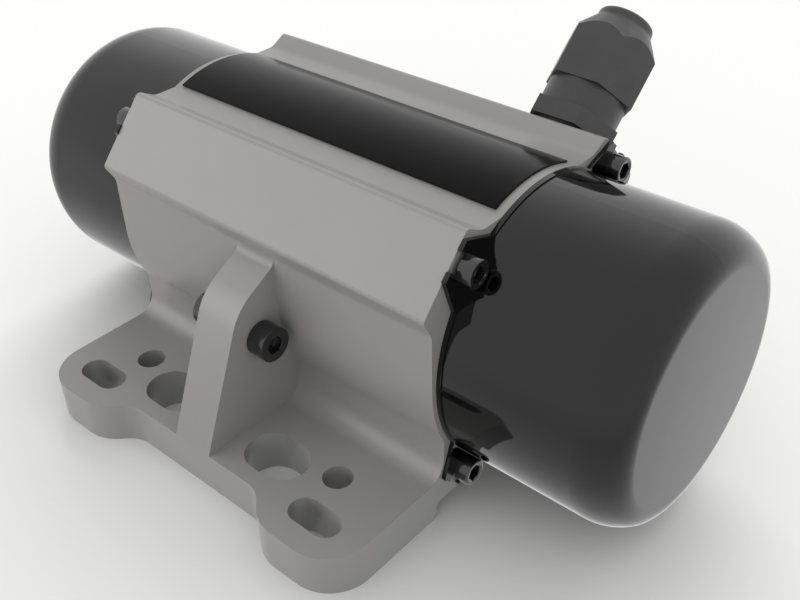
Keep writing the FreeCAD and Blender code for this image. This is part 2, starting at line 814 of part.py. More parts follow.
def make_shield(end, turn):
    body = new_body(f"bearing_shield_{end}", axis_height, turn)
    seat = dim("bearing_outer_radius") + fit
    clip = seat + dim("clip_groove_depth")
    clip_end = bearing_outer_face + dim("clip_thickness")
    lip_face = bearing_inner_face - dim("hub_lip")
    lip = bearing_outer_land + dim("ring_step")
    profile = [
        (lip_face, lip),
        (bearing_inner_face, lip),
        (bearing_inner_face, seat),
        (bearing_outer_face, seat),
        (bearing_outer_face, clip),
        (clip_end, clip),
        (clip_end, seat),
        (half_length, seat),
        (half_length, shield_seat_radius - fit),
        (shield_face, shield_seat_radius - fit),
        (shield_face, hub_radius + dim("hub_lip")),
        (shield_face - dim("hub_lip"), hub_radius),
        (lip_face, hub_radius),
    ]
    turned(body, outline(body, "profile", XZ, profile))

    clip_body = new_body(f"bearing_clip_{end}", axis_height, turn)
    outer = clip - fit
    inner = outer - dim("clip_band")
    make_clip(clip_body, bearing_outer_face, dim("clip_thickness") - fit, inner, outer, -1)


def make_clip(body, face, thickness, inner, outer, lug_side):
    """Open spring ring with two eyes: they point inward on a bore's clip and outward on a shaft's."""
    band = outer - inner
    gap = circles(body, "band", YZ, [(0, 0, outer), (0, 0, inner)], face)
    pad(body, gap, thickness)
    if lug_side < 0:
        low = inner - band
        high = inner + band / 2
    else:
        low = outer - band / 2
        high = outer + band
    eye = dim("clip_eye_half")
    lug = [(-eye, low), (-eye, high), (eye, high), (eye, low)]
    pad(body, outline(body, "eyes", YZ, lug, face), thickness)
    slit = dim("clip_mouth_half")
    mouth = [(-slit, low - band), (-slit, high + band), (slit, high + band), (slit, low - band)]
    pocket(body, outline(body, "mouth", YZ, mouth, face), thickness * 2, both=True)


def make_bearing(end, turn):
    """Deep-groove ball bearing: two rings, a ring of balls and the cage that spaces them."""
    pitch = ball_pitch_radius
    race = dim("ball_radius") + dim("race_gap")
    rings = {
        "outer": (bearing_outer_land, dim("bearing_outer_radius")),
        "inner": (shaft_end_radius + fit, bearing_inner_land),
    }
    for which, (low, high) in rings.items():
        body = new_body(f"bearing_{which}_ring_{end}", axis_height, turn)
        near = bearing_inner_face
        far = bearing_outer_face
        turned(body, outline(body, "section", XZ, [(near, low), (far, low), (far, high), (near, high)]))
        turned(body, circles(body, "race", XZ, [(bearing_middle, pitch, race)]), cut=True)

    balls = new_body(f"bearing_balls_{end}", axis_height, turn)
    ball = balls.newObject("PartDesign::AdditiveSphere", f"{balls.Name}_ball")
    bind(ball, "Radius", dim("ball_radius"))
    ball.AttachmentSupport = [(origin_part(balls, XY), "")]
    ball.MapMode = "FlatFace"
    bind(ball, "AttachmentOffset.Base.x", bearing_middle)
    bind(ball, "AttachmentOffset.Base.z", pitch)
    balls.Tip = ball
    ring_pattern(balls, [ball], dim("ball_count"))

    cage = new_body(f"bearing_cage_{end}", axis_height, turn)
    wide = dim("cage_half_width")
    low = pitch - dim("cage_half_thickness")
    high = pitch + dim("cage_half_thickness")
    section = [
        (bearing_middle - wide, low),
        (bearing_middle + wide, low),
        (bearing_middle + wide, high),
        (bearing_middle - wide, high),
    ]
    turned(cage, outline(cage, "section", XZ, section))
    hole = circles(cage, "ball_pocket", XY, [(bearing_middle, 0, race)])
    cut = pocket(cage, hole, pitch + race, back=True)
    ring_pattern(cage, [cut], dim("ball_count"))


def make_weights(end, turn):
    """Spacer, keyed weight, key, adjustable clamp weight, its screw and the shaft's clip."""
    bore = shaft_end_radius + fit
    spacer = new_body(f"weight_spacer_{end}", axis_height, turn)
    sleeve = [
        (bearing_outer_face, bore),
        (fixed_weight_face, bore),
        (fixed_weight_face, bore + dim("spacer_wall")),
        (bearing_outer_face, bore + dim("spacer_wall")),
    ]
    turned(spacer, outline(spacer, "section", XZ, sleeve))

    fixed = new_body(f"fixed_weight_{end}", axis_height, turn)
    make_weight_disc(fixed, fixed_weight_face, dim("fixed_weight_thickness"))
    thin = shaft_end_radius
    way_top = thin + dim("key_height")
    way_half = dim("key_half_width") + fit
    way = [(way_half, 0), (way_half, way_top + fit), (-way_half, way_top + fit), (-way_half, 0)]
    pocket(fixed, outline(fixed, "keyway", YZ, way, fixed_weight_face),
           dim("fixed_weight_thickness"), back=True)

    key = new_body(f"weight_key_{end}", axis_height, turn)
    half = dim("key_half_width") - fit
    seat = thin - dim("key_depth")
    shape = [(half, seat), (half, way_top), (-half, way_top), (-half, seat)]
    pad(key, outline(key, "section", YZ, shape, fixed_weight_face), dim("fixed_weight_thickness"))

    free = new_body(f"adjustable_weight_{end}", axis_height, turn)
    make_weight_disc(free, free_weight_face, dim("free_weight_thickness"))
    make_clamp(free)
    make_clamp_screw(end, turn)

    clip = new_body(f"shaft_clip_{end}", axis_height, turn)
    inner = thin - dim("shaft_clip_depth") + fit
    make_clip(clip, shaft_clip_face, dim("shaft_clip_thickness") - fit, inner,
              inner + dim("shaft_clip_band"), 1)


def make_weight_disc(body, face, thickness):
    """Half disc under the shaft with a round hub, bored for the shaft."""
    sketch = new_sketch(body, "half_disc", YZ, face)
    radius = dim("weight_radius")
    rise = dim("weight_rise")
    reach = math.sqrt(radius.value ** 2 - rise.value ** 2)
    angle = math.atan2(-rise.value, reach)
    circle = Part.Circle(FreeCAD.Vector(0, 0, 0), ALONG_Z, radius.value)
    arc = sketch.addGeometry(Part.ArcOfCircle(circle, math.pi - angle, 2 * math.pi + angle), False)
    line = sketch.addGeometry(Part.LineSegment(FreeCAD.Vector(reach, -rise.value, 0),
                                               FreeCAD.Vector(-reach, -rise.value, 0)), False)
    sketch.addConstraint(Sketcher.Constraint("Coincident", arc, 3, -1, 1))
    sketch.addConstraint(Sketcher.Constraint("Coincident", arc, 2, line, 1))
    sketch.addConstraint(Sketcher.Constraint("Coincident", line, 2, arc, 1))
    sketch.addConstraint(Sketcher.Constraint("Horizontal", line))
    pin(sketch, "Radius", (arc,), radius)
    pin(sketch, "DistanceY", (-1, 1, line, 1), -rise)
    pad(body, sketch, thickness)
    pad(body, circles(body, "hub", YZ, [(0, 0, weight_hub_radius)], face), thickness)
    bore = circles(body, "bore", YZ, [(0, 0, shaft_end_radius + fit)], face)
    pocket(body, bore, thickness, back=True)


def make_clamp(body):
    """Split lug above the hub, with a cross hole for the clamp screw."""
    face = free_weight_face
    thickness = dim("free_weight_thickness")
    half = dim("clamp_half_width")
    low = shaft_end_radius + dim("clamp_screw_radius")
    high = clamp_screw_height + dim("clamp_cover")
    lug = [(half, low), (half, high, dim("clamp_screw_radius")),
           (-half, high, dim("clamp_screw_radius")), (-half, low)]
    pad(body, outline(body, "lug", YZ, lug, face), thickness)
    slit = dim("clamp_slit_half")
    cut = [(slit, 0), (slit, high + low), (-slit, high + low), (-slit, 0)]
    pocket(body, outline(body, "slit", YZ, cut, face), thickness, back=True)
    across = circles(body, "cross_hole", XZ, [clamp_screw_circle(dim("clamp_screw_radius"))])
    pocket(body, across, (half + low) * 2, both=True)


def clamp_screw_circle(radius):
    return (free_weight_face + dim("free_weight_thickness") / 2, clamp_screw_height, radius)


def make_clamp_screw(end, turn):
    body = new_body(f"clamp_screw_{end}", axis_height, turn)
    half = dim("clamp_half_width")
    shank = circles(body, "shank", XZ, [clamp_screw_circle(dim("clamp_screw_radius") - fit)], half)
    pad(body, shank, half * 2, back=True)
    head = circles(body, "head", XZ, [clamp_screw_circle(dim("clamp_head_radius"))], half)
    pad(body, head, dim("clamp_head_height"))
    across, up, _ = clamp_screw_circle(0)
    socket = outline(body, "socket", XZ, hexagon(across, up, dim("clamp_head_radius")),
                     half + dim("clamp_head_height"))
    pocket(body, socket, dim("socket_depth"))


def make_cap(end, turn):
    """Cup-shaped end cap with four forked lobes, its seal and its screws."""
    body = new_body(f"end_cap_{end}", axis_height, turn)
    wall = dim("cap_wall")
    bevel = dim("cap_bevel_length")
    depth = dim("cap_bevel_depth")
    outer = crown_radius - dim("cap_step")
    lip = shield_seat_radius - dim("cap_lip_overlap")
    flange = crown_radius - dim("flange_step")
    inner = outer - wall
    lip_end = half_length + dim("cap_lip_depth")
    profile = [
        (half_length, lip),
        (half_length, flange),
        (flange_face, flange),
        (flange_face, outer),
        (cap_end - bevel, outer, dim("cap_outer_round")),
        (cap_end, outer - depth, dim("cap_edge_round")),
        (cap_end, size(0)),
        (cap_end - wall, size(0)),
        (cap_end - wall, inner - depth),
        (cap_end - wall - bevel, inner),
        (lip_end + wall, inner),
        (lip_end, lip),
    ]
    turned(body, outline(body, "profile", XZ, profile))
    reach = screw_circle + dim("lobe_margin")
    half = [
        (bore_radius, dim("lobe_root_half")),
        (reach, dim("lobe_tip_half")),
        (reach, dim("notch_half")),
        (screw_circle - dim("notch_half"), dim("notch_half"), dim("notch_round")),
    ]
    lobe = [diagonal(*c) for c in half] + [diagonal(c[0], -c[1], *c[2:]) for c in reversed(half)]
    fork = pad(body, outline(body, "lobe", YZ, lobe, half_length), dim("flange_thickness"))
    ring_pattern(body, [fork], QUARTERS)

    seal = new_body(f"cap_seal_{end}", axis_height, turn)
    low = seal_inner_radius + dim("seal_squeeze")
    high = seal_inner_radius + dim("seal_width") - dim("seal_squeeze")
    back = half_length - dim("seal_depth")
    section = [(back, low), (half_length, low), (half_length, high), (back, high)]
    turned(seal, outline(seal, "section", XZ, section))

    screws = new_body(f"cap_screws_{end}", axis_height, turn)
    place = screw_offset
    shank_length = dim("screw_length")
    tip = flange_face - shank_length
    shank = circles(screws, "shank", YZ, [(place, place, dim("screw_radius") - fit)], tip)
    shank_pad = pad(screws, shank, shank_length)
    head = circles(screws, "head", YZ, [(place, place, dim("screw_head_radius"))], flange_face)
    head_pad = pad(screws, head, dim("screw_head_height"))
    socket = outline(screws, "socket", YZ, hexagon(place, place, dim("screw_socket")),
                     flange_face + dim("screw_head_height"))
    socket_cut = pocket(screws, socket, dim("socket_depth"))
    ring_pattern(screws, [shank_pad, head_pad, socket_cut], QUARTERS)


def make_earth_screws():
    """A socket-head screw on each face of the near rib; the rear one has washers."""
    side = -(side_radius + dim("earth_overhang"))
    up = axis_height - dim("earth_drop")
    face = dim("rib_thickness") / 2
    make_rib_screw("earth_screw_right", face, 0.0, side, up)
    stack = dim("earth_washer_thickness") + dim("spring_washer_thickness")
    make_rib_screw("earth_screw_left", face + stack, 180.0, -side, up)

    flat = new_body("earth_flat_washer", 0, 180.0)
    bore = dim("earth_bolt_radius") + dim("washer_slack")
    pad(flat, circles(flat, "ring", YZ, [(-side, up, dim("earth_washer_radius")), (-side, up, bore)], face),
        dim("earth_washer_thickness"))
    spring = new_body("earth_spring_washer", 0, 180.0)
    start = face + dim("earth_washer_thickness")
    ring = circles(spring, "ring", YZ, [(-side, up, dim("spring_washer_radius")), (-side, up, bore)], start)
    pad(spring, ring, dim("spring_washer_thickness"))
    top = up + dim("earth_washer_radius")
    slit = dim("spring_split_half")
    mouth = [(-side - slit, up), (-side + slit, up), (-side + slit, top), (-side - slit, top)]
    pocket(spring, outline(spring, "split", YZ, mouth, start), dim("spring_washer_thickness"), back=True)


def make_rib_screw(label, head_face, turn, side, up):
    body = new_body(label, 0, turn)
    length = dim("rib_thickness") / 2 - dim("earth_bolt_gap")
    shank = circles(body, "shank", YZ, [(side, up, dim("earth_bolt_radius") - fit)], head_face)
    pad(body, shank, length, back=True)
    pad(body, circles(body, "head", YZ, [(side, up, dim("earth_head_radius"))], head_face),
        dim("earth_head_height"))
    socket = outline(body, "socket", YZ, hexagon(side, up, dim("earth_socket")),
                     head_face + dim("earth_head_height"))
    pocket(body, socket, dim("socket_depth"))


def new_gland_body(label):
    """A body whose own Z axis stands square on the far lobe's sloping face."""
    body = new_body(label)
    body.Placement = FreeCAD.Placement(FreeCAD.Vector(0, 0, 0), FreeCAD.Rotation(ALONG_X, -1))
    bind(body, "Placement.Base.x", gland_place)
    bind(body, "Placement.Base.y", gland_side)
    bind(body, "Placement.Base.z", gland_height)
    bind(body, "Placement.Rotation.Angle", -gland_tilt)
    return body


def make_gland():
    """Cable gland: gasket, hexagonal body with claws, sealing sleeve and dome nut."""
    gasket = new_gland_body("gland_gasket")
    thread = dim("gland_thread_radius")
    outer = gland_barrel_radius - dim("gland_gasket_inset")
    pad(gasket, circles(gasket, "ring", XY, [(0, 0, outer), (0, 0, thread + fit)]), dim("gland_gasket"))

    body = new_gland_body("gland_body")
    foot = dim("gland_gasket")
    cable = dim("gland_cable_radius")
    seat = dim("gland_seat_radius")
    claw = dim("gland_claw_radius")
    upper = dim("gland_upper_thread_radius")
    seat_height = gland_nut_foot - dim("gland_seat_drop")
    core = [
        (cable, -dim("gland_thread_length")),
        (thread - fit, -dim("gland_thread_length")),
        (thread - fit, foot),
        (gland_barrel_radius, foot),
        (gland_barrel_radius, gland_nut_foot),
        (upper, gland_nut_foot),
        (upper, gland_claw_root),
        (claw, gland_claw_root),
        (claw - dim("gland_claw_taper"), gland_claw_top),
        (seat, gland_claw_top),
        (seat, seat_height),
        (cable, seat_height),
    ]
    turned(body, outline(body, "core", XZ, core), axis="V_Axis")
    add_hex_collar(body, foot, gland_hex_top - foot)
    slit = dim("gland_claw_slot_half")
    wide = gland_barrel_radius
    gap = [(cable, slit), (wide, slit), (wide, -slit), (cable, -slit)]
    slot = outline(body, "claw_slot", XY, gap, gland_claw_root)
    cut = pocket(body, slot, gland_claw_top, back=True)
    ring_pattern(body, [cut], dim("gland_claw_count"), "Z_Axis")

    sleeve = new_gland_body("gland_seal")
    shape = [
        (cable, seat_height),
        (seat - fit, seat_height),
        (seat - fit, gland_claw_top),
        (cable, gland_claw_top),
    ]
    turned(sleeve, outline(sleeve, "section", XZ, shape), axis="V_Axis")
    make_dome_nut()


def add_hex_collar(body, foot, height):
    """Hexagon round a turned core, added as a ring so that the bore stays open."""
    sketch = new_sketch(body, "hex", XY, foot)
    add_outline(sketch, hexagon(0, 0, dim("gland_hex")))
    add_circle(sketch, 0, 0, gland_barrel_radius - dim("gland_gasket"))
    return pad(body, sketch, height)


def make_dome_nut():
    body = new_gland_body("gland_nut")
    foot = gland_nut_foot
    height = dim("gland_nut_hex_height")
    top = foot + height
    neck_top = top + dim("gland_nut_neck_height")
    collar_top = neck_top + dim("gland_nut_collar_height")
    rounding = dim("gland_nut_round")
    lip = dim("gland_nut_lip")
    inner = dim("gland_upper_thread_radius") + fit
    shave = dim("gland_hex") / 2
    corner = dim("gland_hex") / math.sqrt(3) + rounding
    neck = shave - dim("gland_nut_neck_step")
    mouth = dim("gland_nut_mouth")
    hexed = outline(body, "hex", XY, hexagon(0, 0, dim("gland_hex"), NUT_TURN), foot)
    pad(body, hexed, height)
    trim = [(shave, top), (corner, top), (corner, top - dim("gland_nut_bevel"))]
    turned(body, outline(body, "chamfer", XZ, trim), axis="V_Axis", cut=True)
    dome = [
        (size(0), top),
        (shave, top),
        (neck, neck_top),
        (neck, collar_top, rounding),
        (size(0), collar_top),
    ]
    turned(body, outline(body, "dome", XZ, dome), axis="V_Axis")
    cavity = [
        (size(0), foot - fit),
        (inner, foot - fit),
        (inner, gland_claw_root + dim("gland_nut_cone_lift")),
        (dim("gland_nut_cone_radius"), gland_claw_top + fit),
        (mouth, neck_top),
        (mouth, collar_top - lip),
        (mouth + lip, collar_top),
        (mouth + lip, collar_top + fit),
        (size(0), collar_top + fit),
    ]
    turned(body, outline(body, "cavity", XZ, cavity), axis="V_Axis", cut=True)


def check_and_export():
    """Stops on any feature in error or broken shape, then writes one file for each piece."""
    doc.recompute()
    for item in doc.Objects:
        if "Invalid" in item.State or "Error" in item.State:
            raise RuntimeError(f"{item.Name} has state {item.State}: {item.getStatusString()}")
    os.makedirs("parts", exist_ok=True)
    for node in nodes:
        shape = node.Shape
        if shape.isNull() or not shape.isValid() or not shape.Solids:
            raise RuntimeError(f"{node.Label} has no valid solid")
        shape.exportStep(os.path.join("parts", f"{node.Label}.step"))


make_housing()
make_nameplate()
make_stator()
make_rotor()
make_shaft()
for end, turn in ENDS.items():
    make_end(end, turn)
make_earth_screws()
make_gland()
check_and_export()
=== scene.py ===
"""Dresses a foot-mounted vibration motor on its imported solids: finishes, screws, floor, light and camera."""

import bpy
import bmesh
import json
import math

from bpy.props import FloatProperty, FloatVectorProperty, IntProperty, PointerProperty
from mathutils import Matrix, Vector

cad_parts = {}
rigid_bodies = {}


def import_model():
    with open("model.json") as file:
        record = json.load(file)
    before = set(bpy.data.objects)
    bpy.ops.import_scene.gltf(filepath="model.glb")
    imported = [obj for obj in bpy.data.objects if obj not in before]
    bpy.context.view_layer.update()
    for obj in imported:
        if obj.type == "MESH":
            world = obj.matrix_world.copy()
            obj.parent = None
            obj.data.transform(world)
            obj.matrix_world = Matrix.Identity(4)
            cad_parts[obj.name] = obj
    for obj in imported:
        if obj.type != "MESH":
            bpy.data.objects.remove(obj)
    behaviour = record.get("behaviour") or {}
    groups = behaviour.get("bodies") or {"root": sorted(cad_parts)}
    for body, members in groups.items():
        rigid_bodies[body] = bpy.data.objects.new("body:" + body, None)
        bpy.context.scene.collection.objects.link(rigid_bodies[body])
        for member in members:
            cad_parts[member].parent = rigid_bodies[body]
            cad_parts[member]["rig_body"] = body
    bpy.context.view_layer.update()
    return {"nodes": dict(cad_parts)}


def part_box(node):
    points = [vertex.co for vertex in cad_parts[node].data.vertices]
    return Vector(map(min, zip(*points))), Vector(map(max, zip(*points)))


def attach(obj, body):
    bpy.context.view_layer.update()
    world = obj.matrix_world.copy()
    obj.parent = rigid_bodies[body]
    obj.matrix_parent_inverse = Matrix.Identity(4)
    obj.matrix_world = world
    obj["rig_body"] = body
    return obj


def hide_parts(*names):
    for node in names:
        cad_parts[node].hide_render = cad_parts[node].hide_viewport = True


bl_info = {
    "name": "Vibration motor dressing",
    "version": (1, 0, 0),
    "blender": (4, 5, 0),
    "location": "3D View > Sidebar > Motor",
    "description": "Finishes, screws and stage for a foot-mounted vibration motor",
    "category": "Object",
}

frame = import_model()
SHAFT_HEIGHT = sum(corner.z for corner in map(Vector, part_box("shaft"))) / 2
ENDS = {"right": 1, "left": -1}
RING_INPUTS = {
    "Body": "NodeSocketObject",
    "Count": "NodeSocketInt",
    "Circle radius": "NodeSocketFloat",
    "Place": "NodeSocketVector",
    "Turn": "NodeSocketVector",
    "Seed": "NodeSocketInt",
    "Material": "NodeSocketMaterial",
}

# Meshes: when points are one, when faces are one flat, and which edges are rounded or sharp
WELD = 1e-6
FLAT_ANGLE = math.radians(0.5)
EDGE_SEGMENTS = 2
SHARP_EDGE = math.radians(32)
SHARP_LOFT = math.radians(35)

# Screws: shares of the shank's radius and of the socket's corner radius, and steps round the rim
TIP_CHAMFER = 0.3
SOCKET_BEVEL = 0.1
DRILL_POINT = 0.4
DRILL_TIP = 0.05
RIM_STEPS = (0, 0.3, 0.6, 0.85, 1)

# Patterns: the middle stretch of a noise, the wave texture's own scale, and pitches in metres
NOISE_REACH = (0.3, 0.7)
WAVE_SCALE = math.pi / 10
TOOL_MARK_PITCH = 0.00018
SHEET_THICKNESS = 0.0005
SHEET_GAP_REACH = (0.05, 0.3)
WIRE_PITCH = 0.0007

# Stage: the way to each lamp, and how bright the sky is below, ahead and behind the object
BACK_SOURCE = (-0.44, 0.75, 0.50)
SIDE_SOURCE = (-0.72, -0.58, 0.38)
SIDE_COLOUR = (1.0, 0.93, 0.87)
LAMP_SPREAD = math.radians(50)
SKY_BELOW = 0.75
SKY_AHEAD = 0.93
SKY_BEHIND = 1.2
SKY_RISE = (-0.45, -0.05)
BEHIND = (-0.29, 0.956, 0)
BEHIND_FADE = (0.3, 0.85)
FLOOR_REACH = 6.0
PHOTO_WIDTH = 800
SENSOR_WIDTH = 36.0


# Sizes and colours that a user would change

class MotorHousingSettings(bpy.types.PropertyGroup):
    colour: FloatVectorProperty(
        name="Coat colour", description="Grey powder coat of the casting", subtype="COLOR",
        default=(0.262, 0.259, 0.255), min=0, max=1)
    edge_round: FloatProperty(
        name="Edge rounding", description="Radius on the casting's edges", unit="LENGTH", default=0.0005)
    grain_size: FloatProperty(
        name="Coat grain", description="Size of the coat's orange peel", unit="LENGTH", default=0.0004)


class MotorCapSettings(bpy.types.PropertyGroup):
    colour: FloatVectorProperty(
        name="Cap colour", description="Gloss black coat of the end caps", subtype="COLOR",
        default=(0.0012, 0.0012, 0.0012), min=0, max=1)


class MotorScrewSettings(bpy.types.PropertyGroup):
    colour: FloatVectorProperty(
        name="Black oxide colour", description="Colour of the blackened screws", subtype="COLOR",
        default=(0.008, 0.008, 0.0082), min=0, max=1)
    count: IntProperty(name="Screws per cap", description="Screws round each end cap", default=4, min=2)
    head_radius: FloatProperty(
        name="Head radius", description="Radius of a cap screw's head", unit="LENGTH", default=0.00285)
    head_height: FloatProperty(
        name="Head height", description="Height of a cap screw's head", unit="LENGTH", default=0.0031)
    shank_radius: FloatProperty(
        name="Shank radius", description="Radius of a cap screw's shank", unit="LENGTH", default=0.00145)
    socket: FloatProperty(
        name="Socket", description="Width of the six-sided socket across its flats", unit="LENGTH",
        default=0.0032)
    socket_depth: FloatProperty(
        name="Socket depth", description="Depth of the six-sided socket", unit="LENGTH", default=0.0018)
    rim_round: FloatProperty(
        name="Rim rounding", description="Radius on the head's rim", unit="LENGTH", default=0.0004)
    seed: IntProperty(name="Seed", description="Picks how far each screw is turned", default=3)


class MotorGlandSettings(bpy.types.PropertyGroup):
    colour: FloatVectorProperty(
        name="Gland colour", description="Dark grey plastic of the cable gland", subtype="COLOR",
        default=(0.047, 0.047, 0.048), min=0, max=1)
    edge_round: FloatProperty(
        name="Edge rounding", description="Radius on the gland's edges", unit="LENGTH", default=0.0003)


class MotorPlateSettings(bpy.types.PropertyGroup):
    colour: FloatVectorProperty(
        name="Plate colour", description="Black film of the bare plate", subtype="COLOR",
        default=(0.003, 0.003, 0.003), min=0, max=1)
    edge_round: FloatProperty(
        name="Edge rounding", description="Radius on the plate's edges", unit="LENGTH", default=0.00012)


class MotorStageSettings(bpy.types.PropertyGroup):
    camera_place: FloatVectorProperty(
        name="Camera place", description="Where the camera stands", subtype="TRANSLATION", unit="LENGTH",
        default=(0.138717, -0.143062, 0.158146))
    camera_aim: FloatVectorProperty(
        name="Camera aim", description="Middle of the view", subtype="TRANSLATION", unit="LENGTH",
        default=(0.0, 0.011008, 0.010275))
    camera_roll: FloatProperty(
        name="Camera roll", description="Turn of the camera about its own view", subtype="ANGLE",
        default=math.radians(-1.7025))
    focal_pixels: FloatProperty(
        name="Focal length", description="Focal length in the photograph's pixels", default=1027.79)
    floor_colour: FloatVectorProperty(
        name="Floor colour", description="Plain pale floor", subtype="COLOR",
        default=(0.77, 0.77, 0.765), min=0, max=1)
    sky_light: FloatProperty(name="Sky light", description="Strength of the even light", default=1.0)
    back_light: FloatProperty(
        name="Back light", description="Strength of the lamp that clears the floor to white", default=2.0)
    side_light: FloatProperty(
        name="Side light", description="Strength of the low lamp on the casting", default=0.48)
    side_sheen: FloatProperty(
        name="Side sheen", description="Further strength of that lamp in the casting's gloss", default=0.5)


# Building blocks for finishes

class Finish:
    """A node material on Object coordinates, with the shader's even values set on its own sockets."""

    def __init__(self, name, colour, roughness, metallic=0.0, **sockets):
        self.material = bpy.data.materials.new(name)
        self.material.use_nodes = True
        self.tree = self.material.node_tree
        self.shader = self.tree.nodes["Principled BSDF"]
        self.colour = tuple(colour)[:3]
        self.roughness = roughness
        self.shader.inputs["Base Color"].default_value = (*self.colour, 1)
        self.shader.inputs["Roughness"].default_value = roughness
        self.shader.inputs["Metallic"].default_value = metallic
        for socket, value in sockets.items():
            self.shader.inputs[socket.replace("_", " ")].default_value = value
        self.place = self.node("ShaderNodeTexCoord").outputs["Object"]
        self.height = None
        self.material.diffuse_color = (*self.colour, 1)

    def node(self, kind, **values):
        made = self.tree.nodes.new(kind)
        for key, value in values.items():
            setattr(made, key, value)
        return made

    def link(self, start, stop):
        self.tree.links.new(start, stop)

    def noise(self, size, detail, stretch=(1, 1, 1)):
        """Noise whose features measure about size, in metres."""
        mapping = self.node("ShaderNodeMapping")
        mapping.inputs["Scale"].default_value = stretch
        self.link(self.place, mapping.inputs["Vector"])
        made = self.node("ShaderNodeTexNoise")
        made.inputs["Scale"].default_value = 1 / size
        made.inputs["Detail"].default_value = detail
        self.link(mapping.outputs["Vector"], made.inputs["Vector"])
        return made.outputs["Fac"]

    def stripes(self, pitch, wobble=0.0):
        """Even stripes along the shaft, with their pitch in metres."""
        made = self.node("ShaderNodeTexWave", wave_type="BANDS", bands_direction="X")
        made.inputs["Scale"].default_value = WAVE_SCALE / pitch
        made.inputs["Distortion"].default_value = wobble
        self.link(self.place, made.inputs["Vector"])
        return made.outputs["Fac"]

    def ramp(self, factor, low, high, start, stop):
        """Carries a pattern between start and stop to values between low and high."""
        made = self.node("ShaderNodeMapRange")
        made.inputs["From Min"].default_value = start
        made.inputs["From Max"].default_value = stop
        made.inputs["To Min"].default_value = low
        made.inputs["To Max"].default_value = high
        self.link(factor, made.inputs["Value"])
        return made.outputs["Result"]

    def tones(self, factor, spread, reach=NOISE_REACH):
        """Varies the colour by a pattern that runs over reach, evenly about its own value."""
        mix = self.node("ShaderNodeMix", data_type="RGBA")
        mix.inputs["A"].default_value = (*(c * (1 - spread) for c in self.colour), 1)
        mix.inputs["B"].default_value = (*(min(1, c * (1 + spread)) for c in self.colour), 1)
        self.link(self.ramp(factor, 0, 1, *reach), mix.inputs["Factor"])
        self.link(mix.outputs["Result"], self.shader.inputs["Base Color"])

    def gloss(self, factor, spread):
        """Varies the roughness by a noise, evenly about its own value."""
        value = self.ramp(factor, self.roughness - spread, self.roughness + spread, *NOISE_REACH)
        self.link(value, self.shader.inputs["Roughness"])

    def bump(self, factor, depth):
        """Adds one pattern to the surface, with its depth in metres."""
        made = self.node("ShaderNodeBump")
        made.inputs["Strength"].default_value = 1.0
        made.inputs["Distance"].default_value = depth
        self.link(factor, made.inputs["Height"])
        if self.height is not None:
            self.link(self.height, made.inputs["Normal"])
        self.height = made.outputs["Normal"]
        self.link(self.height, self.shader.inputs["Normal"])


def powder_coat(name, colour, grain):
    """Satin powder coat on a casting: orange peel, faint clouds and fine specks."""
    finish = Finish(name, colour, 0.36, Specular_IOR_Level=0.5)
    finish.tones(finish.noise(0.012, 4), 0.015)
    finish.gloss(finish.noise(0.004, 3), 0.015)
    finish.bump(finish.noise(grain * 6, 2), grain * 0.03)
    finish.bump(finish.noise(grain, 2), grain * 0.035)
    return finish.material


def gloss_coat(name, colour):
    """Smooth gloss black coat with a slow waviness and a trace of dust haze."""
    finish = Finish(name, colour, 0.06, Specular_IOR_Level=0.5)
    finish.gloss(finish.noise(0.006, 4), 0.015)
    finish.tones(finish.noise(0.02, 3), 0.12)
    finish.bump(finish.noise(0.0022, 1), 0.0000025)
    return finish.material


def plate_film(name, colour):
    """Black film on a thin plate, with a faint grain along the shaft."""
    finish = Finish(name, colour, 0.2, Specular_IOR_Level=0.09)
    finish.gloss(finish.noise(0.0015, 4, stretch=(0.08, 1, 1)), 0.05)
    finish.tones(finish.noise(0.008, 3), 0.10)
    finish.bump(finish.noise(0.0003, 2, stretch=(0.1, 1, 1)), 0.000002)
    return finish.material


def black_oxide(name, colour):
    """Blackened steel: uneven tone, fine turned grain and worn patches of gloss."""
    finish = Finish(name, colour, 0.14, Specular_IOR_Level=0.9)
    finish.tones(finish.noise(0.0012, 4), 0.25)
    finish.gloss(finish.noise(0.0007, 4), 0.05)
    finish.bump(finish.noise(0.00018, 2), 0.000002)
    return finish.material


def moulded_plastic(name, colour):
    """Glass-filled plastic with a fine spark-eroded texture."""
    finish = Finish(name, colour, 0.42, Specular_IOR_Level=0.45)
    finish.tones(finish.noise(0.005, 3), 0.08)
    finish.gloss(finish.noise(0.0018, 3), 0.06)
    finish.bump(finish.noise(0.00022, 3), 0.000012)
    return finish.material


def soft_rubber(name, colour):
    finish = Finish(name, colour, 0.6, Specular_IOR_Level=0.35, Sheen_Weight=0.1)
    finish.tones(finish.noise(0.003, 3), 0.15)
    finish.bump(finish.noise(0.0003, 3), 0.000012)
    return finish.material


def turned_steel(name, colour):
    """Bright machined steel with fine tool rings about the shaft."""
    finish = Finish(name, colour, 0.28, metallic=1.0)
    finish.tones(finish.noise(0.003, 3), 0.04)
    finish.gloss(finish.noise(0.0012, 3, stretch=(1, 4, 4)), 0.03)
    finish.bump(finish.stripes(TOOL_MARK_PITCH, wobble=0.6), 0.0000025)
    return finish.material


def ground_steel(name, colour):
    finish = Finish(name, colour, 0.16, metallic=1.0)
    finish.tones(finish.noise(0.002, 2), 0.05)
    finish.gloss(finish.noise(0.0008, 3), 0.04)
    finish.bump(finish.noise(0.00012, 2), 0.000001)
    return finish.material


def zinc_plate(name, colour):
    finish = Finish(name, colour, 0.3, metallic=1.0)
    finish.tones(finish.noise(0.0015, 4), 0.12)
    finish.gloss(finish.noise(0.0009, 4), 0.08)
    finish.bump(finish.noise(0.0002, 2), 0.000004)
    return finish.material


